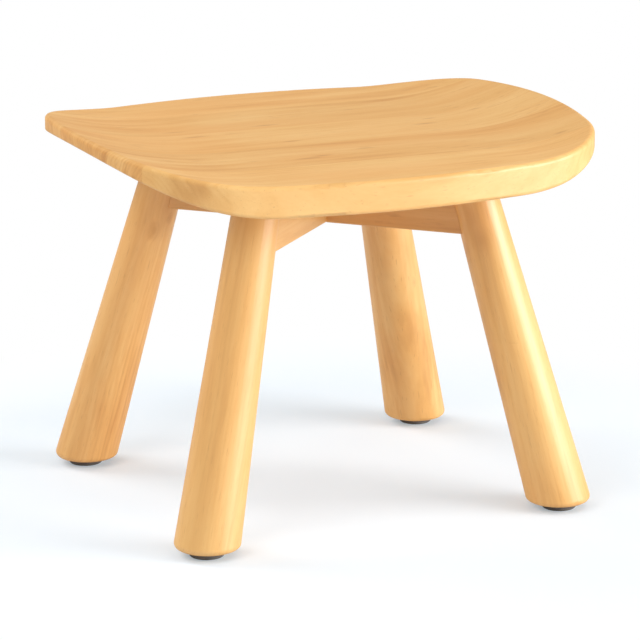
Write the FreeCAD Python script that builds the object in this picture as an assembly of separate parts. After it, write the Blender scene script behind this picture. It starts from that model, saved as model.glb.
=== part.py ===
import FreeCAD, Part
import math
import os

# Low stool in solid wood. Five edge-glued boards make a seat that is dished along its length and thins
# towards both ends. It stands on four splayed round legs that thicken towards the floor, tied by two
# rails that cross at the middle in a halved joint.
# Millimetres. +X is along the seat, +Y to the back, +Z up. The origin is on the floor under the middle.

# Seat, seen from above: two long edges and two ends, all gently bowed, joined by round corners
seat_length = 399.0
seat_depth = 351.6
long_edge_radius = 494.0
end_edge_radius = 442.0
corner_radius = 87.5

# Seat, seen from the front: level in the middle, then curving up to both ends
underside_height = 259.6
seat_thickness = 24.3
dish_rise = 16.5
dish_flat_length = 198.4
end_thickness = 10.0
underside_flat_length = 196.6
top_edge_round = 3.5
bottom_edge_round = 2.9

# Legs. The insets run from the seat's ends and long edges to the legs' axes, at the floor and at the rails
foot_inset_x = 50.3
foot_inset_y = 44.1
joint_inset = 82.8
leg_foot_diameter = 50.9
leg_top_diameter = 35.9
leg_foot_round = 4.0

# Crossed rails under the seat
rail_thickness = 24.0
rail_depth = 43.0
rail_edge_round = 1.2
tenon_thickness = 10.0
tenon_height = 21.0
tenon_above_rail_edge = 4.5
tenon_past_axis = 5.0
tenon_end_gap = 1.0

# Dowels that locate the seat on the legs
dowel_diameter = 10.0
dowel_in_leg = 13.5
dowel_in_seat = 12.0
dowel_chamfer = 1.0
dowel_end_gap = 0.5

# Screws that draw the seat down on the rails
seat_screw_offset = 62.0
seat_screw_diameter = 4.5
seat_screw_length = 34.0
seat_screw_head_diameter = 9.0
seat_screw_head_height = 3.0
seat_screw_seat_depth = 20.0
counterbore_diameter = 12.0

# Feet: a rubber pad with a washer and a screw let into it
pad_diameter = 26.4
pad_height = 5.8
pad_edge_chamfer = 0.8
pad_recess_diameter = 13.0
pad_recess_depth = 3.6
washer_diameter = 12.0
washer_thickness = 0.8
foot_screw_diameter = 3.5
foot_screw_length = 18.0
foot_screw_head_diameter = 7.0
foot_screw_head_height = 2.2

# Clearances, each on one side
glue_gap = 0.1
hole_gap = 0.1
screw_end_gap = 1.0

# Screw details: the tip's length as a share of the shank's diameter, and the crown's width of the head's
tip_length_share = 1.2
head_crown_share = 0.6

UP = FreeCAD.Vector(0, 0, 1)
MARGIN = 30.0
TOUCH = 0.05
LEG_FACES = 8
BOARD_NAMES = ("front", "front_middle", "centre", "rear_middle", "rear")
CORNERS = {
    "front_left": (-1, -1),
    "front_right": (1, -1),
    "rear_left": (-1, 1),
    "rear_right": (1, 1),
}

# Spacings between the legs' axes, and heights that several pieces share
foot_spacing_x = seat_length - 2 * foot_inset_x
foot_spacing_y = seat_depth - 2 * foot_inset_y
joint_spacing = seat_depth - 2 * joint_inset
rail_bottom = underside_height - rail_depth
rail_middle = underside_height - rail_depth / 2
seat_top = underside_height + seat_thickness

# The seat's two curves, each as half the level length, the height there and the rise to the ends
SEAT_CURVES = {
    "top": (dish_flat_length / 2, seat_top, dish_rise),
    "bottom": (underside_flat_length / 2, underside_height, seat_thickness + dish_rise - end_thickness),
}


def vector(x, y, z=0.0):
    return FreeCAD.Vector(x, y, z)


def slab(low, high):
    """A level slab, wider than the stool, between two heights."""
    side = seat_length + seat_depth
    return Part.makeBox(side, side, high - low, vector(-side / 2, -side / 2, low))


def main_piece(shape):
    """The largest solid, without the offcuts that a cut may leave beside it."""
    return max(shape.Solids, key=lambda solid: solid.Volume)


# Seat


def arc_edge(centre, radius, start, end):
    """The shorter arc between two points of a circle in the XY plane."""
    middle = (start + end) * 0.5 - centre
    middle.normalize()
    return Part.Arc(start, centre + middle * radius, end).toShape()


def seat_outline():
    """The seat's plan: each bowed edge is an arc, and a smaller arc joins them inside each corner."""
    long_centre = vector(0, seat_depth / 2 - long_edge_radius)
    end_centre = vector(seat_length / 2 - end_edge_radius, 0)
    apart = end_centre - long_centre
    to_long = long_edge_radius - corner_radius
    to_end = end_edge_radius - corner_radius
    along = (apart.Length**2 + to_long**2 - to_end**2) / (2 * apart.Length)
    aside = math.sqrt(to_long**2 - along**2)
    unit = FreeCAD.Vector(apart).normalize()
    corner = long_centre + unit * along + vector(unit.y, -unit.x) * aside
    on_long = corner + (corner - long_centre).normalize() * corner_radius
    on_end = corner + (corner - end_centre).normalize() * corner_radius

    def mirrored(point, sx, sy):
        return vector(point.x * sx, point.y * sy)

    edges = []
    for sx, sy in CORNERS.values():
        start, end = mirrored(on_long, sx, sy), mirrored(on_end, sx, sy)
        edges.append(arc_edge(mirrored(corner, sx, sy), corner_radius, start, end))
    for side in (1, -1):
        left, right = mirrored(on_long, -1, side), mirrored(on_long, 1, side)
        edges.append(arc_edge(long_centre * side, long_edge_radius, left, right))
        front, back = mirrored(on_end, side, -1), mirrored(on_end, side, 1)
        edges.append(arc_edge(end_centre * side, end_edge_radius, front, back))
    return Part.Face(Part.Wire(Part.__sortEdges__(edges)))


def rising_arc(flat_half, level, rise, side):
    """An arc, tangent to the level middle, that rises to the seat's end on one side."""
    run = seat_length / 2 - flat_half
    radius = (run**2 + rise**2) / (2 * rise)
    sweep = math.asin(run / radius)
    middle = vector(
        side * (flat_half + radius * math.sin(sweep / 2)), 0, level + radius * (1 - math.cos(sweep / 2))
    )
    start = vector(side * flat_half, 0, level)
    end = vector(side * seat_length / 2, 0, level + rise)
    return Part.Arc(start, middle, end).toShape(), start, end


def seat_profile():
    """The seat's section along its length: a dished top over an underside that sweeps up at both ends."""
    edges = []
    ends = {}
    for name, (flat_half, level, rise) in SEAT_CURVES.items():
        starts = []
        for side in (-1, 1):
            arc, start, end = rising_arc(flat_half, level, rise, side)
            edges.append(arc)
            starts.append(start)
            ends[name, side] = end
        edges.append(Part.LineSegment(*starts).toShape())
    for side in (-1, 1):
        edges.append(Part.LineSegment(ends["top", side], ends["bottom", side]).toShape())
    return Part.Face(Part.Wire(Part.__sortEdges__(edges)))


def height_at(x, flat_half, level, rise):
    """The height of the seat's top or underside at a distance from the middle."""
    run = seat_length / 2 - flat_half
    radius = (run**2 + rise**2) / (2 * rise)
    past = max(abs(x) - flat_half, 0.0)
    return level + radius - math.sqrt(max(radius**2 - past**2, 0.0))


def rim_edges(shape, curve):
    """The edges that run round the seat on one of its two curves, and don't cross it or climb its side."""
    outline = seat_outline().OuterWire
    found = []
    for edge in shape.Edges:
        points = edge.discretize(5)
        level = all(abs(point.z - height_at(point.x, *curve)) < TOUCH for point in points)
        if level and all(outline.distToShape(Part.Vertex(vector(p.x, p.y)))[0] < TOUCH for p in points):
            found.append(edge)
    return found


def seat_blank():
    """The whole seat before its boards are told apart."""
    section = seat_profile()
    section.translate(vector(0, -seat_depth / 2 - MARGIN, 0))
    bar = section.extrude(vector(0, seat_depth + 2 * MARGIN, 0))
    prism = seat_outline().extrude(UP * (seat_top + dish_rise + MARGIN))
    blank = bar.common(prism)
    blank = blank.makeFillet(top_edge_round, rim_edges(blank, SEAT_CURVES["top"]))
    return blank.makeFillet(bottom_edge_round, rim_edges(blank, SEAT_CURVES["bottom"]))


def seat_nodes():
    """The boards, cut from the blank along glue lines that run with the seat's length."""
    seat = seat_blank().cut(Part.makeCompound(dowel_holes() + seat_pilot_holes()))
    width = seat_depth / len(BOARD_NAMES)
    made = {}
    for index, name in enumerate(BOARD_NAMES):
        corner = vector(-seat_length / 2 - MARGIN, -seat_depth / 2 + index * width)
        strip = Part.makeBox(seat_length + 2 * MARGIN, width, seat_top + dish_rise, corner)
        made["seat_board_" + name] = seat.common(strip)
    return made


# Legs


def leg_axis(corner, height):
    """The point of a leg's axis at a height. The axis passes the rail's end on the 45 degree diagonal."""
    sx, sy = CORNERS[corner]
    share = height / rail_middle
    x = foot_spacing_x / 2 + (joint_spacing - foot_spacing_x) / 2 * share
    y = foot_spacing_y / 2 + (joint_spacing - foot_spacing_y) / 2 * share
    return vector(sx * x, sy * y, height)


def leg_radius(height):
    """The radius of a leg's level section at a height."""
    share = (height - pad_height) / (underside_height - pad_height)
    return (leg_foot_diameter + (leg_top_diameter - leg_foot_diameter) * share) / 2


def leg_ring(corner, height, grow):
    """A leg's level section: a circle, in arcs that give the leg its long faces."""
    centre = leg_axis(corner, height)
    radius = leg_radius(height) + grow
    turn = 2 * math.pi / LEG_FACES

    def on_ring(count):
        return centre + vector(math.cos(turn * count), math.sin(turn * count)) * radius

    arcs = [Part.Arc(on_ring(i), on_ring(i + 0.5), on_ring(i + 1)) for i in range(LEG_FACES)]
    return Part.Wire([arc.toShape() for arc in arcs])


def leg_cone(corner, grow=0.0):
    """The leg's taper, longer than the leg at both ends. It leans, yet each level section is a circle."""
    heights = (pad_height - MARGIN, underside_height + MARGIN)
    return Part.makeLoft([leg_ring(corner, height, grow) for height in heights], True, True)


def leg_solid(corner):
    """A leg: cut level at both ends, with its mortise, its dowel hole and its screw's pilot hole."""
    leg = leg_cone(corner).common(slab(pad_height, underside_height))
    foot_rim = [edge for edge in leg.Edges if edge.BoundBox.ZMax < pad_height + TOUCH]
    leg = leg.makeFillet(leg_foot_round, foot_rim)
    holes = [tenon(corner, glue_gap, tenon_end_gap), dowel_hole(corner), foot_pilot_hole(corner)]
    return main_piece(leg.cut(Part.makeCompound(holes)))


# Rails


def diagonal(corner):
    """The level unit vector from the middle of the stool towards a leg."""
    sx, sy = CORNERS[corner]
    return vector(sx, sy).normalize()


def tenon(corner, grow=0.0, longer=0.0):
    """A rail's tenon with round top and bottom edges, or with a gap round it, the leg's mortise."""
    out = diagonal(corner)
    aside = UP.cross(out)
    half = tenon_thickness / 2 + grow
    low = rail_bottom + tenon_above_rail_edge + tenon_thickness / 2
    high = rail_bottom + tenon_above_rail_edge + tenon_height - tenon_thickness / 2
    reach = joint_spacing / math.sqrt(2)
    start = out * (reach - leg_top_diameter)
    length = leg_top_diameter + tenon_past_axis + longer
    left_low, left_high = (start - aside * half + UP * height for height in (low, high))
    right_low, right_high = (start + aside * half + UP * height for height in (low, high))
    outline = Part.Wire(
        [
            Part.LineSegment(left_low, left_high).toShape(),
            Part.Arc(left_high, start + UP * (high + half), right_high).toShape(),
            Part.LineSegment(right_high, right_low).toShape(),
            Part.Arc(right_low, start + UP * (low - half), left_low).toShape(),
        ]
    )
    return Part.Face(outline).extrude(out * length)


def rail_bar(corner, thickness, low, high, half_length):
    """A bar along one diagonal, centred on the stool."""
    bar = Part.makeBox(2 * half_length, thickness, high - low, vector(-half_length, -thickness / 2, low))
    out = diagonal(corner)
    bar.rotate(vector(0, 0, 0), UP, math.degrees(math.atan2(out.y, out.x)))
    return bar


def rail_solid(corner, opposite, crossing, notch_low, notch_high):
    """A rail: shoulders coped to both legs, a tenon at each end and half of the crossing cut away."""
    reach = joint_spacing / math.sqrt(2)
    bar = rail_bar(corner, rail_thickness, rail_bottom, underside_height, reach)
    low_edges = [edge for edge in bar.Edges if edge.BoundBox.ZMax < rail_bottom + TOUCH]
    long_edges = [edge for edge in low_edges if edge.Length > reach]
    bar = bar.makeFillet(rail_edge_round, long_edges)
    coping = [leg_cone(end, glue_gap) for end in (corner, opposite)]
    notch = rail_bar(crossing, rail_thickness + 2 * glue_gap, notch_low, notch_high, rail_thickness)
    rail = main_piece(bar.cut(Part.makeCompound(coping)))
    for end in (corner, opposite):
        rail = rail.fuse(tenon(end))
    holes = [notch]
    for end in (corner, opposite):
        holes.extend(seat_screw_holes(end))
    return main_piece(rail.cut(Part.makeCompound(holes)).removeSplitter())


def rail_nodes():
    """Two rails, the first notched from above at the crossing and the second from below."""
    above = (rail_middle - glue_gap, underside_height + MARGIN)
    below = (rail_bottom - MARGIN, rail_middle)
    return {
        "rail_front_left_to_rear_right": rail_solid("front_left", "rear_right", "front_right", *above),
        "rail_rear_left_to_front_right": rail_solid("rear_left", "front_right", "front_left", *below),
    }


# Dowels


def dowel_hole(corner):
    """The hole for a dowel, through the joint between a leg and the seat."""
    centre = leg_axis(corner, underside_height)
    centre.z -= dowel_in_leg + dowel_end_gap
    length = dowel_in_leg + dowel_in_seat + 2 * dowel_end_gap
    return Part.makeCylinder(dowel_diameter / 2 + hole_gap, length, centre)


def dowel_holes():
    return [dowel_hole(corner) for corner in CORNERS]


def dowel_solid(corner):
    """An upright dowel with both ends chamfered."""
    centre = leg_axis(corner, underside_height)
    centre.z -= dowel_in_leg
    dowel = Part.makeCylinder(dowel_diameter / 2, dowel_in_leg + dowel_in_seat, centre)
    rims = [edge for edge in dowel.Edges if edge.BoundBox.ZLength < TOUCH]
    return dowel.makeChamfer(dowel_chamfer, rims)


# Screws


def screw_solid(base, diameter, length, head_diameter, head_height):
    """A screw that points up from base, where its head bears. The head narrows away from the shank."""
    shank = diameter / 2
    head = head_diameter / 2
    tip = diameter * tip_length_share
    half_outline = [
        vector(0, 0, length),
        vector(shank, 0, length - tip),
        vector(shank, 0, 0),
        vector(head, 0, 0),
        vector(head * head_crown_share, 0, -head_height),
        vector(0, 0, -head_height),
        vector(0, 0, length),
    ]
    screw = Part.Face(Part.makePolygon(half_outline)).revolve(vector(0, 0, 0), UP, 360)
    screw.translate(base)
    return screw.Solids[0]


def seat_screw_base(corner):
    """Where a seat screw's head bears, in its counterbore."""
    base = diagonal(corner) * seat_screw_offset
    base.z = underside_height - seat_screw_seat_depth
    return base


def seat_screw_holes(corner):
    """The counterbore from below and the clearance hole above it."""
    base = seat_screw_base(corner)
    floor = vector(base.x, base.y, rail_bottom - MARGIN)
    counterbore = Part.makeCylinder(counterbore_diameter / 2, base.z - floor.z, floor)
    shank = Part.makeCylinder(seat_screw_diameter / 2 + hole_gap, seat_screw_seat_depth + MARGIN, base)
    return [counterbore, shank]


def seat_pilot_holes():
    holes = []
    for corner in CORNERS:
        base = seat_screw_base(corner)
        radius = seat_screw_diameter / 2 + hole_gap
        holes.append(Part.makeCylinder(radius, seat_screw_length + screw_end_gap, base))
    return holes


def seat_screw(corner):
    return screw_solid(
        seat_screw_base(corner),
        seat_screw_diameter,
        seat_screw_length,
        seat_screw_head_diameter,
        seat_screw_head_height,
    )


# Feet


def foot_centre(corner, height):
    """The middle of a leg's cut end, at another height."""
    centre = leg_axis(corner, pad_height)
    centre.z = height
    return centre


def foot_pilot_hole(corner):
    length = foot_screw_length - (pad_height - pad_recess_depth) + screw_end_gap
    return Part.makeCylinder(foot_screw_diameter / 2 + hole_gap, length, foot_centre(corner, pad_height))


def foot_pad(corner):
    """A rubber disc with a bevelled rim, a recess for the washer and a hole for the screw."""
    base = foot_centre(corner, 0.0)
    pad = Part.makeCylinder(pad_diameter / 2, pad_height, base)
    floor_rim = [edge for edge in pad.Edges if edge.BoundBox.ZMax < TOUCH]
    pad = pad.makeChamfer(pad_edge_chamfer, floor_rim)
    recess = Part.makeCylinder(pad_recess_diameter / 2, pad_recess_depth, base)
    hole = Part.makeCylinder(foot_screw_diameter / 2 + hole_gap, pad_height, base)
    return pad.cut(recess).cut(hole)


def foot_washer(corner):
    base = foot_centre(corner, pad_recess_depth - washer_thickness)
    disc = Part.makeCylinder(washer_diameter / 2, washer_thickness, base)
    return disc.cut(Part.makeCylinder(foot_screw_diameter / 2 + hole_gap, washer_thickness, base))


def foot_screw(corner):
    return screw_solid(
        foot_centre(corner, pad_recess_depth - washer_thickness),
        foot_screw_diameter,
        foot_screw_length,
        foot_screw_head_diameter,
        foot_screw_head_height,
    )


def all_nodes():
    made = {}
    made.update(seat_nodes())
    made.update(rail_nodes())
    for corner in CORNERS:
        made["leg_" + corner] = leg_solid(corner)
        made["leg_dowel_" + corner] = dowel_solid(corner)
        made["seat_screw_" + corner] = seat_screw(corner)
        made["foot_pad_" + corner] = foot_pad(corner)
        made["foot_washer_" + corner] = foot_washer(corner)
        made["foot_screw_" + corner] = foot_screw(corner)
    return made


os.makedirs("parts", exist_ok=True)
for name, shape in all_nodes().items():
    shape.exportStep("parts/" + name + ".step")
    print(name, len(shape.Solids), "solid,", round(shape.Volume / 1000, 2), "cm3")
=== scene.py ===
import math

import bpy
from mathutils import Matrix, Vector


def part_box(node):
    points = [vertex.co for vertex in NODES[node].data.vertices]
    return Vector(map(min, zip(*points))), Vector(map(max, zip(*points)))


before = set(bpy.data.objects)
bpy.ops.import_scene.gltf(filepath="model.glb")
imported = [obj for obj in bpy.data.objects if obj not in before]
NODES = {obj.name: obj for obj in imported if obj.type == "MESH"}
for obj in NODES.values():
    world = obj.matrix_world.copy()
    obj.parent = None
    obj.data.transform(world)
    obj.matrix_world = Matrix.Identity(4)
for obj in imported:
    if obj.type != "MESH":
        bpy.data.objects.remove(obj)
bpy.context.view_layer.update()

# Low solid wood stool: a dished seat of five glued boards on four splayed round legs, with crossed rails.
# Metres, in the frame's own axes: +X along the seat, +Y to the back, +Z up, the floor at zero.

MM = 0.001
CORNERS = ("front_left", "front_right", "rear_left", "rear_right")

# Camera, as it stood in the photograph, with its angles in degrees and its sensor in millimetres
IMAGE_PIXELS = 640
FOCAL_PIXELS = 3539.0
PRINCIPAL_PIXEL = (317.4, 310.9)
CAMERA_AZIMUTH = -23.78
CAMERA_ELEVATION = 14.51
CAMERA_DISTANCE = 2.780
CAMERA_TARGET = Vector((0.0, 0.0, 0.14175))
SENSOR_WIDTH = 36.0

# Softboxes: azimuth and elevation in degrees, power in watts, and whether the stool's gloss mirrors them
LAMP_DISTANCE = 2.4
LAMP_WIDTH = 1.5
LAMP_HEIGHT = 1.2
LAMPS = {
    "key_right": dict(azimuth=50, elevation=14, power=53, mirrored=True),
    "top_right": dict(azimuth=30, elevation=60, power=8.5, mirrored=False),
    "fill_left": dict(azimuth=-60, elevation=36, power=16, mirrored=False),
    "back_left": dict(azimuth=-140, elevation=36, power=25, mirrored=False),
}

# Strength of the even light from all round
WORLD_LIGHT = 0.53

# Floor: its size, how far it lies under the pads, the glow that lifts and cools the stool's shadow,
# and how far from the middle the shadow starts to fade and is gone
FLOOR_SIZE = 12.0
FLOOR_GAP = 0.1 * MM
FLOOR_GLOW = 0.315
SHADOW_NEAR = 0.27
SHADOW_FAR = 0.47

# How much of the full white a reflected ray sees. The varnish would be too bright with all of it.
GLOSS_SHARE = 0.04

# Colours as sRGB bytes
WOOD_PALE = (247, 201, 129)
WOOD_MID = (234, 178, 101)
WOOD_DARK = (206, 141, 67)
WOOD_PORE = (172, 104, 44)
WOOD_ROSE = (236, 171, 98)
BEECH = (222, 188, 146)
RUBBER = (114, 110, 106)
RUBBER_DARK = (66, 62, 60)
DUST = (128, 120, 110)
ZINC = (196, 198, 200)
ZINC_DARK = (170, 172, 176)
FLOOR = (217, 220, 224)
FLOOR_COOL = (213, 238, 252)

# The figure's layers of noise, in waves to the metre along the grain, around the rings and through them
BAND = (3.6, 12.0, 36.0)
STREAK = (7.0, 26.0, 105.0)
DASH = (17.0, 60.0, 230.0)
FLECK = (50.0, 75.0, 300.0)
FIBRE = (34.0, 500.0, 1150.0)
PORE = (90.0, 900.0, 2300.0)

# Slower noise, in waves to the metre along the grain and both ways across it
WAVE = (2.6, 11.0, 11.0)
RIPPLE = (14.0, 60.0, 60.0)
CLOUD = (6.0, 13.0, 13.0)
PATCH = (7.0, 16.0, 16.0)
SPARSE = (9.0, 30.0, 30.0)

# What a layer does: the range of its noise that counts, then the values that it gives at the two ends
BAND_TONE = (0.3, 0.7, 0.06, 0.40)
STREAK_TONE = (0.36, 0.66, -0.08, 0.30)
DASH_TONE = (0.46, 0.72, 0.0, 0.24)
FIBRE_TONE = (0.3, 0.7, -0.05, 0.07)
PATCH_BOLDNESS = (0.38, 0.62, 0.35, 1.0)
CLOUD_ROSE = (0.42, 0.68, 0.0, 0.38)
CLOUD_ROUGHNESS = (0.3, 0.7, -0.02, 0.03)
STREAK_ROUGHNESS = (0.3, 0.7, -0.02, 0.02)
PORE_SHADE = (0.66, 0.76, 0.0, 0.3)
FLECK_EDGE = (0.58, 0.72, 0.0, 1.0)
SPARSE_EDGE = (0.46, 0.62, 0.0, 1.0)
STAIN_AND_SHADE_STREAK = (0.3, 0.6, 0.4, 1.0)
KNOT_HEART = (0.5, 0.95, 0.0, 0.24)
KNOT_HALO = (0.05, 0.6, 0.0, 0.14)

# Rings: their width, how far waves, ripples and knots push them, how far into the late wood a point is at
# each place across a ring, and the least that a pale ring has of it
RING_WIDTH = 3.4 * MM
WAVE_PUSH = 15 * MM
RIPPLE_PUSH = 1.6 * MM
KNOT_PUSH = 5 * MM
LATE_WOOD = ((0.0, 0.4), (0.22, 0.0), (0.5, 0.2), (0.82, 1.0), (1.0, 0.4))
PALE_RING = 0.1

# The colours that the tone runs through, and how strongly late wood, flecks, and stains and painted shade
# darken
WOOD_SHADES = ((0.0, WOOD_PALE), (0.45, WOOD_MID), (1.0, WOOD_DARK))
LATE_TONE = 0.22
FLECK_SHADE = 0.55
STAIN_AND_SHADE_DARKNESS = 0.5

# End grain: how squarely the surface cuts the fibres where it starts and is full, and what it adds
END_FACING = (0.55, 0.97)
END_BOLDNESS = 1.8
END_SHADE = 0.10
END_ROUGHNESS = 0.12

# How many times longer than wide a knot, a fleck and a cloud of stain and painted shade are along the grain
KNOT_STRETCH = 1.6
FLECK_STRETCH = 5.0
STAIN_AND_SHADE_STRETCH = 1.0

# Varnish: its roughness on the seat and elsewhere, its gloss, how much fibres and late wood raise it,
# and its bump's strength and depth
SEAT_ROUGHNESS = 0.5
WOOD_ROUGHNESS = 0.43
VARNISH_SPECULAR = 0.9
FIBRE_HEIGHT = 0.5
LATE_HEIGHT = 0.35
VARNISH_BUMP = (0.05, 0.1 * MM)

# How strongly a piece shows the scattered gum flecks
GUM_PLAIN = 0.5
GUM_FAINT = 0.12

# Seeds: how far one unit moves a piece's noise, and the first seed and the step of each kind of piece
SEED_MOVE = (1.37, 0.71, 0.53)
SEAT_SEEDS = (3.1, 2.3)
RAIL_SEEDS = (17.3, 4.1)
LEG_SEEDS = (31.7, 5.9)

# Seat boards from the front: the side that the pith lies on, its distance, the tint, paler below zero,
# and the gum flecks. The pith lies a little below a board, and the grain runs a little off straight.
BOARDS = {
    "front": dict(side=1, distance=62 * MM, tint=-0.08, gummy=GUM_FAINT),
    "front_middle": dict(side=-1, distance=95 * MM, tint=0.16, gummy=GUM_PLAIN),
    "centre": dict(side=1, distance=118 * MM, tint=0.08, gummy=GUM_PLAIN),
    "rear_middle": dict(side=1, distance=84 * MM, tint=0.12, gummy=GUM_PLAIN),
    "rear": dict(side=-1, distance=70 * MM, tint=0.0, gummy=GUM_PLAIN),
}
BOARD_PITH_DROP = 0.35
BOARD_SKEW = 0.012

# Dark flecks in the seat boards and one stain, as places in millimetres with their widths
SEAT_FLECKS = {
    "front_middle": (
        ((-43, -83, 284), 3.6),
        ((-30, -78, 284), 2.6),
        ((12, -66, 284), 2.6),
        ((163, -99, 290), 2.6),
    ),
    "centre": (((-92, 28, 284), 3.4), ((93, 1, 284), 3.2), ((-30, -18, 284), 2.4), ((150, 22, 287), 2.6)),
    "rear_middle": (((-25, 45, 284), 3.4), ((-100, 48, 284), 3.0), ((62, 78, 284), 2.6)),
}
SEAT_STAINS = {"front": (((-165, -138, 280), 24.0), ((-156, -144, 282), 12.0))}

# Rails: the two legs that each one joins, and its tint. The pith lies below the rail.
# The second rail's darker tint is painted shade: it darkens the rail that lies in the seat's shade
RAILS = (("front_left", "rear_right", -0.3), ("rear_left", "front_right", 0.45))
RAIL_PITH_DISTANCE = 75 * MM

# Legs: where the pith lies, its distance from the leg's axis, how much the grain leans towards it,
# how bold the figure is, and the tint
LEGS = {
    "front_left": dict(pith=(0.85, -0.5, 0.0), distance=44 * MM, lean=0.02, figure=0.8, tint=-0.12),
    "front_right": dict(pith=(0.85, -0.3, 0.0), distance=36 * MM, lean=0.04, figure=1.3, tint=-0.04),
    "rear_left": dict(pith=(0.9, -0.35, 0.0), distance=40 * MM, lean=0.02, figure=1.6, tint=0.0),
    "rear_right": dict(pith=(0.3, 0.95, 0.0), distance=30 * MM, lean=0.06, figure=1.6, tint=0.0),
}

# Small knots in the legs, and darker clouds at their tops, as places in millimetres with their widths
LEG_KNOTS = {
    "rear_left": (((-105.6, 79.9, 199.3), 8.0), ((-92.1, 80.1, 208.3), 5.0)),
    "rear_right": (((127.1, 90.5, 131.6), 4.0),),
}
# The clouds are painted shade that the seat casts on the legs' tops; on the rear left leg it lies over
# darker, knotty wood
LEG_SHADE_AND_STAINS = {
    "rear_left": (((-98, 78, 208), 24.0), ((-92, 82, 226), 20.0)),
    "front_right": (((83, -109, 232), 24.0), ((88, -113, 214), 14.0)),
}

# Where a leg's axis is measured: the height above its foot, and how near a height a point counts
FOOT_LEVEL = 8 * MM
FOOT_REACH = 2.5 * MM
TOP_REACH = 0.2 * MM

# Beech dowels: fibres and rays in waves to the metre, what they do, and the bump's strength and depth
BEECH_FIBRE = (900.0, 900.0, 45.0)
BEECH_RAY = (1700.0, 1700.0, 340.0)
BEECH_SHADES = ((0.25, BEECH), (0.8, WOOD_DARK))
RAY_SHADE = (0.6, 0.72, 0.0, 0.5)
BEECH_ROUGHNESS = (0.3, 0.7, 0.6, 0.75)
BEECH_BUMP = (0.2, 0.1 * MM)

# Rubber pads: grain and patches in waves to the metre, what they do, how high dust reaches, and the bump
RUBBER_GRAIN = (1600.0, 1600.0, 1600.0)
RUBBER_PATCH = (130.0, 130.0, 130.0)
RUBBER_SHADE = (0.3, 0.7, 0.0, 0.3)
RUBBER_ROUGHNESS = (0.3, 0.7, 0.62, 0.8)
RUBBER_BUMP = (0.25, 0.15 * MM)
DUST_HEIGHT = 1.6 * MM
DUST_PATCH = (0.35, 0.7, 0.1, 0.5)

# Zinc plate: mottle and scratches in waves to the metre, what they do, and the bump
ZINC_MOTTLE = (700.0, 700.0, 700.0)
ZINC_SCRATCH = (300.0, 2600.0, 300.0)
MOTTLE_SHADE = (0.3, 0.7, 0.0, 1.0)
MOTTLE_ROUGHNESS = (0.3, 0.7, 0.22, 0.36)
SCRATCH_ROUGHNESS = (0.6, 0.7, 0.0, 0.1)
ZINC_BUMP = (0.08, 0.05 * MM)


def linear(colour):
    """An sRGB colour in bytes as the linear RGBA that a socket takes."""
    made = []
    for byte in colour:
        share = byte / 255
        made.append(share / 12.92 if share <= 0.04045 else ((share + 0.055) / 1.055) ** 2.4)
    return (*made, 1.0)


# Node helpers


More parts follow.
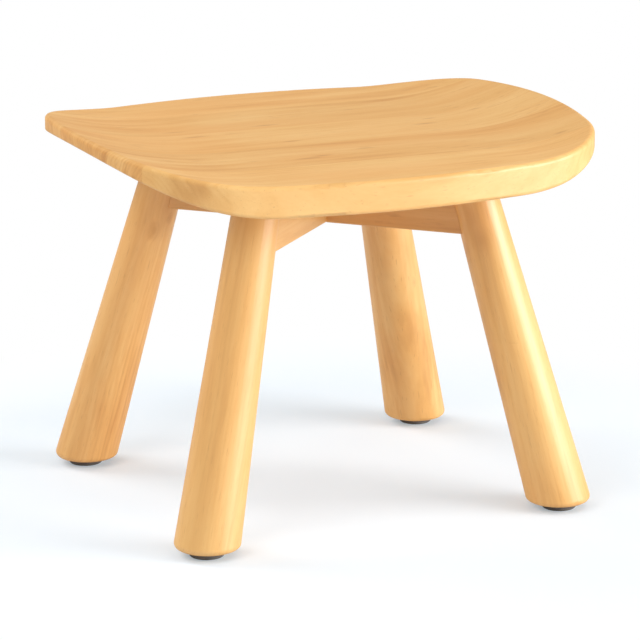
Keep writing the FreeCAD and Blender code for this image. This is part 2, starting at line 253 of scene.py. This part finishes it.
class Tree:
    """A material's or the world's nodes, with one short call for each kind of node."""

    def __init__(self, owner):
        owner.use_nodes = True
        self.tree = owner.node_tree
        self.tree.nodes.clear()

    def node(self, kind, **settings):
        made = self.tree.nodes.new(kind)
        for name, value in settings.items():
            setattr(made, name, value)
        return made

    def put(self, value, socket):
        """Links an output to a socket, or sets the socket to a plain value."""
        if isinstance(value, bpy.types.NodeSocket):
            self.tree.links.new(value, socket)
        else:
            socket.default_value = value

    def math(self, operation, *values, clamp=False):
        made = self.node("ShaderNodeMath", operation=operation, use_clamp=clamp)
        for value, socket in zip(values, made.inputs):
            self.put(value, socket)
        return made.outputs[0]

    def vector(self, operation, *values):
        made = self.node("ShaderNodeVectorMath", operation=operation)
        for value, socket in zip(values, made.inputs):
            self.put(value, socket)
        return made.outputs["Value"] if operation in ("LENGTH", "DOT_PRODUCT") else made.outputs[0]

    def place(self):
        """Object coordinates, in metres."""
        return self.node("ShaderNodeTexCoord").outputs["Object"]

    def split(self, vector):
        """A vector's X, Y and Z."""
        made = self.node("ShaderNodeSeparateXYZ")
        self.put(vector, made.inputs[0])
        return made.outputs

    def join(self, *values):
        """The vector with these values as its X, Y and Z."""
        made = self.node("ShaderNodeCombineXYZ")
        for value, socket in zip(values, made.inputs):
            self.put(value, socket)
        return made.outputs[0]

    def noise(self, vector, waves, detail=2.0, roughness=0.5):
        """Noise with so many waves to the metre. Fac is one number, and Color is three that differ."""
        made = self.node("ShaderNodeTexNoise")
        self.put(self.vector("MULTIPLY", vector, waves), made.inputs["Vector"])
        made.inputs["Scale"].default_value = 1.0
        made.inputs["Detail"].default_value = detail
        made.inputs["Roughness"].default_value = roughness
        return made.outputs

    def remap(self, value, low, high, to_low=0.0, to_high=1.0, smooth=False):
        """The value moved from one range to another and held inside it."""
        made = self.node("ShaderNodeMapRange", clamp=True)
        if smooth:
            made.interpolation_type = "SMOOTHSTEP"
        items = {"Value": value, "From Min": low, "From Max": high, "To Min": to_low, "To Max": to_high}
        for name, item in items.items():
            self.put(item, made.inputs[name])
        return made.outputs[0]

    def ramp(self, value, *stops):
        made = self.node("ShaderNodeValToRGB")
        elements = made.color_ramp.elements
        while len(elements) < len(stops):
            elements.new(0.5)
        for element, (place, colour) in zip(elements, stops):
            element.position = place
            element.color = colour
        self.put(value, made.inputs[0])
        return made.outputs[0]

    def mix(self, share, first, second):
        """A colour between two others. Inputs 6 and 7 and output 2 are the node's sockets for colours."""
        made = self.node("ShaderNodeMix", data_type="RGBA")
        self.put(share, made.inputs[0])
        self.put(first, made.inputs[6])
        self.put(second, made.inputs[7])
        return made.outputs[2]

    def shader_mix(self, share, first, second):
        made = self.node("ShaderNodeMixShader")
        for value, socket in zip((share, first, second), made.inputs):
            self.put(value, socket)
        return made.outputs[0]

    def shader_add(self, first, second):
        made = self.node("ShaderNodeAddShader")
        for value, socket in zip((first, second), made.inputs):
            self.put(value, socket)
        return made.outputs[0]

    def bump(self, height, strength, depth):
        made = self.node("ShaderNodeBump")
        made.inputs["Strength"].default_value = strength
        made.inputs["Distance"].default_value = depth
        self.put(height, made.inputs["Height"])
        return made.outputs[0]

    def finish(self, surface, kind="ShaderNodeOutputMaterial"):
        """Ends the tree with this surface."""
        self.put(surface, self.node(kind).inputs["Surface"])


def principled(name):
    """A new material with a Principled shader at its output."""
    material = bpy.data.materials.new(name)
    tree = Tree(material)
    shader = tree.node("ShaderNodeBsdfPrincipled")
    tree.finish(shader.outputs[0])
    return material, tree, shader


# Wood


class Grain:
    """A piece's grain: where a point lies along the fibres and round the pith, and noise that follows."""

    def __init__(self, tree, origin, along, towards_pith, pith_distance, seed, knots):
        x_axis = Vector(along).normalized()
        y_axis = Vector(towards_pith).cross(x_axis).normalized()
        self.tree = tree
        self.along = tuple(x_axis)
        self.turn = Matrix((x_axis, y_axis, x_axis.cross(y_axis)))
        self.origin = Vector(origin)
        self.seed = seed
        self.move = tuple(seed * unit for unit in SEED_MOVE)
        mapping = tree.node("ShaderNodeMapping")
        mapping.inputs["Rotation"].default_value = self.turn.to_euler("XYZ")
        mapping.inputs["Location"].default_value = -(self.turn @ self.origin)
        tree.put(tree.place(), mapping.inputs["Vector"])
        self.place = mapping.outputs[0]
        self.moved = tree.vector("ADD", self.place, self.move)
        self.ripple = self.push(RIPPLE, RIPPLE_PUSH)
        self.knot = self.near(self.place, knots, KNOT_STRETCH)
        self.roll(pith_distance)

    def slow(self, waves, detail=2.0, roughness=0.5):
        """Noise that runs straight along the grain."""
        return self.tree.noise(self.moved, waves, detail, roughness)["Fac"]

    def layer(self, waves, detail=2.0, roughness=0.5):
        """Noise in thin sheets that follow the rings."""
        return self.tree.noise(self.rolled, waves, detail, roughness)["Fac"]

    def push(self, waves, reach, roughness=0.5):
        """A vector that wanders across the grain."""
        wander = self.tree.noise(self.moved, waves, roughness=roughness)["Color"]
        wander = self.tree.vector("SUBTRACT", wander, (0.5, 0.5, 0.5))
        return self.tree.vector("MULTIPLY", wander, (0.0, reach, reach))

    def near(self, place, spots, stretch):
        """How near a place is to some spots, from 0 to 1. A spot is a place on the object and a width."""
        tree = self.tree
        total = 0.0
        for spot, width in spots:
            centre = self.turn @ (Vector(spot) * MM - self.origin)
            away = tree.vector("SUBTRACT", place, tuple(centre))
            away = tree.vector("MULTIPLY", away, (1 / stretch, 1.0, 1.0))
            share = tree.remap(tree.vector("LENGTH", away), width * MM, 0.0, smooth=True)
            total = tree.math("ADD", total, share)
        return total

    def roll(self, pith_distance):
        """Finds the place bent by waves, its radius from the pith, and the place rolled out round the pith.

        The waves carry the rings off straight, and a knot pushes them aside."""
        tree = self.tree
        wave = self.push(WAVE, WAVE_PUSH, roughness=0.45)
        self.bent = tree.vector("ADD", tree.vector("ADD", self.place, wave), self.ripple)
        from_pith = tree.split(tree.vector("SUBTRACT", self.bent, (0, 0, pith_distance)))
        side = from_pith["Y"]
        below = tree.math("MULTIPLY", from_pith["Z"], -1.0)
        squares = tree.math("ADD", tree.math("POWER", side, 2.0), tree.math("POWER", below, 2.0))
        knot_push = tree.math("MULTIPLY", self.knot, KNOT_PUSH)
        self.radius = tree.math("ADD", tree.math("SQRT", squares), knot_push)
        around = tree.math("MULTIPLY", tree.math("ARCTAN2", side, below), pith_distance)
        self.rolled = tree.vector("ADD", tree.join(from_pith["X"], around, self.radius), self.move)


def late_wood(grain):
    """How far a point is into its ring's late wood, from 0 to 1. Some rings have more of it."""
    tree = grain.tree
    phase = tree.math("DIVIDE", grain.radius, RING_WIDTH)
    chance = tree.node("ShaderNodeTexWhiteNoise", noise_dimensions="1D")
    tree.put(tree.math("ADD", tree.math("FLOOR", phase), grain.seed), chance.inputs["W"])
    most = tree.remap(chance.outputs["Value"], 0.0, 1.0, PALE_RING, 1.0)
    stops = [(place, (grey, grey, grey, 1.0)) for place, grey in LATE_WOOD]
    return tree.math("MULTIPLY", tree.ramp(tree.math("FRACT", phase), *stops), most)


def end_grain(grain):
    """1 where the surface cuts straight across the fibres, and 0 where it runs along them."""
    tree = grain.tree
    geometry = tree.node("ShaderNodeNewGeometry")
    facing = tree.vector("DOT_PRODUCT", geometry.outputs["Normal"], grain.along)
    return tree.remap(tree.math("ABSOLUTE", facing), *END_FACING, smooth=True)


def wood_tone(grain, late, streak, fibre, end, figure):
    """How dark the figure is, from 0 to 1. Its lines come in patches, and are bolder on end grain."""
    tree = grain.tree
    patch = tree.remap(grain.slow(PATCH, detail=1.0), *PATCH_BOLDNESS)
    boldness = tree.math("MULTIPLY", patch, tree.remap(end, 0.0, 1.0, figure, END_BOLDNESS * figure))
    dash = grain.layer(DASH, detail=3.0, roughness=0.6)
    band = grain.layer(BAND, detail=3.0)
    lines = tree.math("MULTIPLY", late, LATE_TONE)
    lines = tree.math("ADD", lines, tree.remap(streak, *STREAK_TONE))
    lines = tree.math("ADD", lines, tree.remap(dash, *DASH_TONE))
    lines = tree.math("MULTIPLY", lines, boldness)
    tone = tree.math("ADD", lines, tree.remap(band, *BAND_TONE))
    return tree.math("ADD", tone, tree.remap(fibre, *FIBRE_TONE), clamp=True)


def fleck_marks(grain, gummy, flecks):
    """Short dark marks: faint ones scattered here and there, and the single ones given by place."""
    tree = grain.tree
    scattered = tree.remap(grain.layer(FLECK, roughness=0.6), *FLECK_EDGE, smooth=True)
    sparse = tree.remap(grain.slow(SPARSE, detail=1.0), *SPARSE_EDGE, smooth=True)
    gum = tree.math("MULTIPLY", tree.math("MULTIPLY", scattered, sparse), gummy)
    return tree.math("MAXIMUM", gum, grain.near(grain.bent, flecks, FLECK_STRETCH))


def stain_and_shade_marks(grain, streak, stains_and_shade):
    """Darker clouds given by place, broken up by the streaks: seat stains and painted shade on leg tops."""
    tree = grain.tree
    cloud = grain.near(tree.vector("ADD", grain.place, grain.ripple), stains_and_shade, STAIN_AND_SHADE_STRETCH)
    return tree.math("MULTIPLY", cloud, tree.remap(streak, *STAIN_AND_SHADE_STREAK))


def knot_marks(grain):
    """A knot's dark heart and the fainter wood round it."""
    tree = grain.tree
    heart = tree.remap(grain.knot, *KNOT_HEART, smooth=True)
    halo = tree.remap(grain.knot, *KNOT_HALO, smooth=True)
    return tree.math("MAXIMUM", heart, halo)


def wood(
    name,
    origin,
    along,
    towards_pith,
    pith_distance,
    seed,
    knots=(),
    flecks=(),
    stains_and_shade=(),
    tint=0.0,
    figure=1.0,
    gummy=GUM_PLAIN,
    roughness=WOOD_ROUGHNESS,
):
    """Satin varnished wood, solid through the piece: rings, streaks, flecks, fibres and pores.

    Knots, flecks, stains and painted shade are places on the object with a width, in millimetres."""
    material, tree, shader = principled(name)
    grain = Grain(tree, origin, along, towards_pith, pith_distance, seed, knots)
    late = late_wood(grain)
    end = end_grain(grain)
    streak = grain.layer(STREAK, detail=4.0, roughness=0.6)
    fibre = grain.layer(FIBRE, detail=3.0, roughness=0.6)
    pores = tree.remap(grain.layer(PORE, detail=1.0), *PORE_SHADE)
    cloud = grain.slow(CLOUD, detail=3.0, roughness=0.55)

    tone = wood_tone(grain, late, streak, fibre, end, figure)
    colour = tree.ramp(tone, *[(place, linear(shade)) for place, shade in WOOD_SHADES])
    # Each veil is a share and the colour that it lays over what is there
    veils = (
        (tree.remap(cloud, *CLOUD_ROSE), WOOD_ROSE),
        (tree.math("MULTIPLY", fleck_marks(grain, gummy, flecks), FLECK_SHADE), WOOD_PORE),
        # Stains in the seat, and on the legs painted shade that the seat casts on their tops
        (tree.math("MULTIPLY", stain_and_shade_marks(grain, streak, stains_and_shade), STAIN_AND_SHADE_DARKNESS), WOOD_DARK),
        (pores, WOOD_PORE),
        (knot_marks(grain), WOOD_PORE),
        (tree.math("MULTIPLY", end, END_SHADE), WOOD_DARK),
        # A piece's tint; the second rail's darker tint is painted shade of the seat
        (abs(tint), WOOD_DARK if tint > 0 else WOOD_PALE),
    )
    for share, veil in veils:
        colour = tree.mix(share, colour, linear(veil))
    tree.put(colour, shader.inputs["Base Color"])

    rough = tree.math("ADD", tree.remap(streak, *STREAK_ROUGHNESS), roughness)
    rough = tree.math("ADD", rough, tree.remap(cloud, *CLOUD_ROUGHNESS))
    rough = tree.math("ADD", rough, tree.math("MULTIPLY", end, END_ROUGHNESS))
    tree.put(rough, shader.inputs["Roughness"])
    shader.inputs["Specular IOR Level"].default_value = VARNISH_SPECULAR

    height = tree.math("SUBTRACT", tree.math("MULTIPLY", fibre, FIBRE_HEIGHT), pores)
    height = tree.math("ADD", height, tree.math("MULTIPLY", late, LATE_HEIGHT))
    tree.put(tree.bump(height, *VARNISH_BUMP), shader.inputs["Normal"])
    return material


# Beech, rubber and zinc


def beech():
    """Plain unvarnished beech with its short dark rays, the grain upright."""
    material, tree, shader = principled("plain_beech")
    place = tree.place()
    fibre = tree.noise(place, BEECH_FIBRE, detail=3.0)["Fac"]
    ray = tree.noise(place, BEECH_RAY, detail=1.0)["Fac"]
    colour = tree.ramp(fibre, *[(stop, linear(shade)) for stop, shade in BEECH_SHADES])
    colour = tree.mix(tree.remap(ray, *RAY_SHADE), colour, linear(WOOD_PORE))
    tree.put(colour, shader.inputs["Base Color"])
    tree.put(tree.remap(fibre, *BEECH_ROUGHNESS), shader.inputs["Roughness"])
    tree.put(tree.bump(fibre, *BEECH_BUMP), shader.inputs["Normal"])
    return material


def rubber():
    """Matt moulded rubber, dusty where it meets the floor."""
    material, tree, shader = principled("moulded_rubber")
    place = tree.place()
    grain = tree.noise(place, RUBBER_GRAIN, detail=3.0)["Fac"]
    patch = tree.noise(place, RUBBER_PATCH, detail=3.0)["Fac"]
    low_down = tree.remap(tree.split(place)["Z"], DUST_HEIGHT, 0.0)
    dust = tree.math("MULTIPLY", low_down, tree.remap(patch, *DUST_PATCH))
    colour = tree.mix(tree.remap(patch, *RUBBER_SHADE), linear(RUBBER), linear(RUBBER_DARK))
    colour = tree.mix(dust, colour, linear(DUST))
    tree.put(colour, shader.inputs["Base Color"])
    tree.put(tree.remap(grain, *RUBBER_ROUGHNESS), shader.inputs["Roughness"])
    tree.put(tree.bump(grain, *RUBBER_BUMP), shader.inputs["Normal"])
    return material


def zinc():
    """Bright zinc plate with a faint crystal mottle and fine scratches."""
    material, tree, shader = principled("bright_zinc")
    place = tree.place()
    mottle = tree.noise(place, ZINC_MOTTLE, detail=3.0)["Fac"]
    scratch = tree.noise(place, ZINC_SCRATCH)["Fac"]
    colour = tree.mix(tree.remap(mottle, *MOTTLE_SHADE), linear(ZINC), linear(ZINC_DARK))
    tree.put(colour, shader.inputs["Base Color"])
    shader.inputs["Metallic"].default_value = 1.0
    rough = tree.remap(mottle, *MOTTLE_ROUGHNESS)
    rough = tree.math("ADD", rough, tree.remap(scratch, *SCRATCH_ROUGHNESS))
    tree.put(rough, shader.inputs["Roughness"])
    tree.put(tree.bump(scratch, *ZINC_BUMP), shader.inputs["Normal"])
    return material


# What each piece is made of


def coat(node, material):
    """Gives a node of the frame one material in place of the one it came with."""
    target = NODES[node].data
    target.materials.clear()
    target.materials.append(material)


def middle(node):
    low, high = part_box(node)
    return (low + high) / 2


def level_centre(node, height, reach):
    """The middle of a node's points near a height."""
    points = [vertex.co for vertex in NODES[node].data.vertices if abs(vertex.co.z - height) < reach]
    xs = [point.x for point in points]
    ys = [point.y for point in points]
    return Vector(((min(xs) + max(xs)) / 2, (min(ys) + max(ys)) / 2, height))


def leg_axis(node):
    """The middle of a leg's foot and the direction up its axis."""
    low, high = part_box(node)
    foot = level_centre(node, low.z + FOOT_LEVEL, FOOT_REACH)
    top = level_centre(node, high.z, TOP_REACH)
    return foot, (top - foot).normalized()


def seed_of(seeds, index):
    first, step = seeds
    return first + step * index


def dress_seat():
    """Quarter-sawn boards: the pith lies far to one side, so the rings stand upright in each board."""
    for index, (board, grain) in enumerate(BOARDS.items()):
        node = "seat_board_" + board
        material = wood(
            "varnished_" + node,
            middle(node),
            (1, BOARD_SKEW * grain["side"], 0),
            (0, grain["side"], -BOARD_PITH_DROP),
            grain["distance"],
            seed_of(SEAT_SEEDS, index),
            flecks=SEAT_FLECKS.get(board, ()),
            stains_and_shade=SEAT_STAINS.get(board, ()),
            tint=grain["tint"],
            gummy=grain["gummy"],
            roughness=SEAT_ROUGHNESS,
        )
        coat(node, material)


def dress_rails():
    """Rails with the grain along them and the pith below."""
    for index, (first, second, tint) in enumerate(RAILS):
        node = f"rail_{first}_to_{second}"
        along = middle("leg_" + second) - middle("leg_" + first)
        along.z = 0.0
        material = wood(
            "varnished_" + node,
            middle(node),
            along,
            (0, 0, -1),
            RAIL_PITH_DISTANCE,
            seed_of(RAIL_SEEDS, index),
            tint=tint,
        )
        coat(node, material)


def dress_legs():
    """Legs with the grain nearly along the axis, each cut from its own place in a trunk."""
    for index, (corner, grain) in enumerate(LEGS.items()):
        node = "leg_" + corner
        foot, axis = leg_axis(node)
        material = wood(
            "varnished_" + node,
            foot,
            axis + Vector(grain["pith"]) * grain["lean"],
            grain["pith"],
            grain["distance"],
            seed_of(LEG_SEEDS, index),
            knots=LEG_KNOTS.get(corner, ()),
            stains_and_shade=LEG_SHADE_AND_STAINS.get(corner, ()),
            tint=grain["tint"],
            figure=grain["figure"],
            gummy=GUM_FAINT,
        )
        coat(node, material)


def dress_hardware():
    """Dowels, pads, washers and screws, each kind with one material."""
    steel = zinc()
    kinds = {
        "leg_dowel_": beech(),
        "foot_pad_": rubber(),
        "foot_washer_": steel,
        "foot_screw_": steel,
        "seat_screw_": steel,
    }
    for kind, material in kinds.items():
        for corner in CORNERS:
            coat(kind + corner, material)


# Stage, light and camera


def white_where_seen(tree):
    """1 for rays from the camera and refracted ones, a small share for reflected ones, 0 for the rest."""
    path = tree.node("ShaderNodeLightPath")
    seen = tree.math("MAXIMUM", path.outputs["Is Camera Ray"], path.outputs["Is Transmission Ray"])
    return tree.math("MAXIMUM", seen, tree.math("MULTIPLY", path.outputs["Is Glossy Ray"], GLOSS_SHARE))


def pale_floor():
    """The floor's material: it takes the stool's shadow and is white beyond it."""
    material = bpy.data.materials.new("pale_floor")
    tree = Tree(material)
    diffuse = tree.node("ShaderNodeBsdfDiffuse")
    diffuse.inputs["Color"].default_value = linear(FLOOR)
    glow = tree.node("ShaderNodeEmission")
    glow.inputs["Color"].default_value = linear(FLOOR_COOL)
    glow.inputs["Strength"].default_value = FLOOR_GLOW
    white = tree.node("ShaderNodeEmission")
    away = tree.vector("LENGTH", tree.vector("MULTIPLY", tree.place(), (1.0, 1.0, 0.0)))
    beyond = tree.remap(away, SHADOW_NEAR, SHADOW_FAR, smooth=True)
    near = tree.shader_add(diffuse.outputs[0], glow.outputs[0])
    seen = tree.shader_mix(beyond, near, white.outputs[0])
    tree.finish(tree.shader_mix(white_where_seen(tree), diffuse.outputs[0], seen))
    return material


def make_floor():
    half = FLOOR_SIZE / 2
    level = -FLOOR_GAP
    corners = [(-half, -half, level), (half, -half, level), (half, half, level), (-half, half, level)]
    mesh = bpy.data.meshes.new("floor")
    mesh.from_pydata(corners, [], [(0, 1, 2, 3)])
    mesh.materials.append(pale_floor())
    floor = bpy.data.objects.new("floor", mesh)
    bpy.context.scene.collection.objects.link(floor)


def make_world():
    """An even white surround, at full white only where it is seen."""
    world = bpy.data.worlds.new("surround")
    bpy.context.scene.world = world
    tree = Tree(world)
    lit = tree.node("ShaderNodeBackground")
    lit.inputs["Strength"].default_value = WORLD_LIGHT
    seen = tree.node("ShaderNodeBackground")
    surface = tree.shader_mix(white_where_seen(tree), lit.outputs[0], seen.outputs[0])
    tree.finish(surface, "ShaderNodeOutputWorld")


def direction(azimuth, elevation):
    """The unit vector towards a camera or lamp at an azimuth and elevation in degrees."""
    turn = math.radians(azimuth)
    rise = math.radians(elevation)
    return Vector((math.sin(turn) * math.cos(rise), -math.cos(turn) * math.cos(rise), math.sin(rise)))


def aim(thing, place, target):
    thing.location = place
    thing.rotation_euler = (target - place).to_track_quat("-Z", "Y").to_euler()


def softbox(name, azimuth, elevation, power, mirrored):
    """A rectangular soft lamp. One that isn't mirrored lights the stool without showing in its gloss."""
    lamp = bpy.data.lights.new(name, "AREA")
    lamp.shape = "RECTANGLE"
    lamp.size = LAMP_WIDTH
    lamp.size_y = LAMP_HEIGHT
    lamp.energy = power
    holder = bpy.data.objects.new(name, lamp)
    bpy.context.scene.collection.objects.link(holder)
    holder.visible_glossy = mirrored
    aim(holder, CAMERA_TARGET + direction(azimuth, elevation) * LAMP_DISTANCE, CAMERA_TARGET)


def make_light():
    for name, settings in LAMPS.items():
        softbox(name, **settings)


def make_camera():
    """The photograph's camera, turned a little so that the image needs no shift."""
    back = direction(CAMERA_AZIMUTH, CAMERA_ELEVATION)
    right = Vector((0, 0, 1)).cross(back).normalized()
    up = back.cross(right)
    place = CAMERA_TARGET + back * CAMERA_DISTANCE
    off_right = (IMAGE_PIXELS / 2 - PRINCIPAL_PIXEL[0]) / FOCAL_PIXELS
    off_down = (IMAGE_PIXELS / 2 - PRINCIPAL_PIXEL[1]) / FOCAL_PIXELS
    data = bpy.data.cameras.new("camera")
    data.sensor_width = SENSOR_WIDTH
    data.lens = SENSOR_WIDTH * FOCAL_PIXELS / IMAGE_PIXELS
    camera = bpy.data.objects.new("camera", data)
    bpy.context.scene.collection.objects.link(camera)
    aim(camera, place, place - back + right * off_right - up * off_down)
    bpy.context.scene.camera = camera


make_camera()
dress_seat()
dress_rails()
dress_legs()
dress_hardware()
make_floor()
make_world()
make_light()
bpy.context.scene.view_settings.view_transform = "Standard"
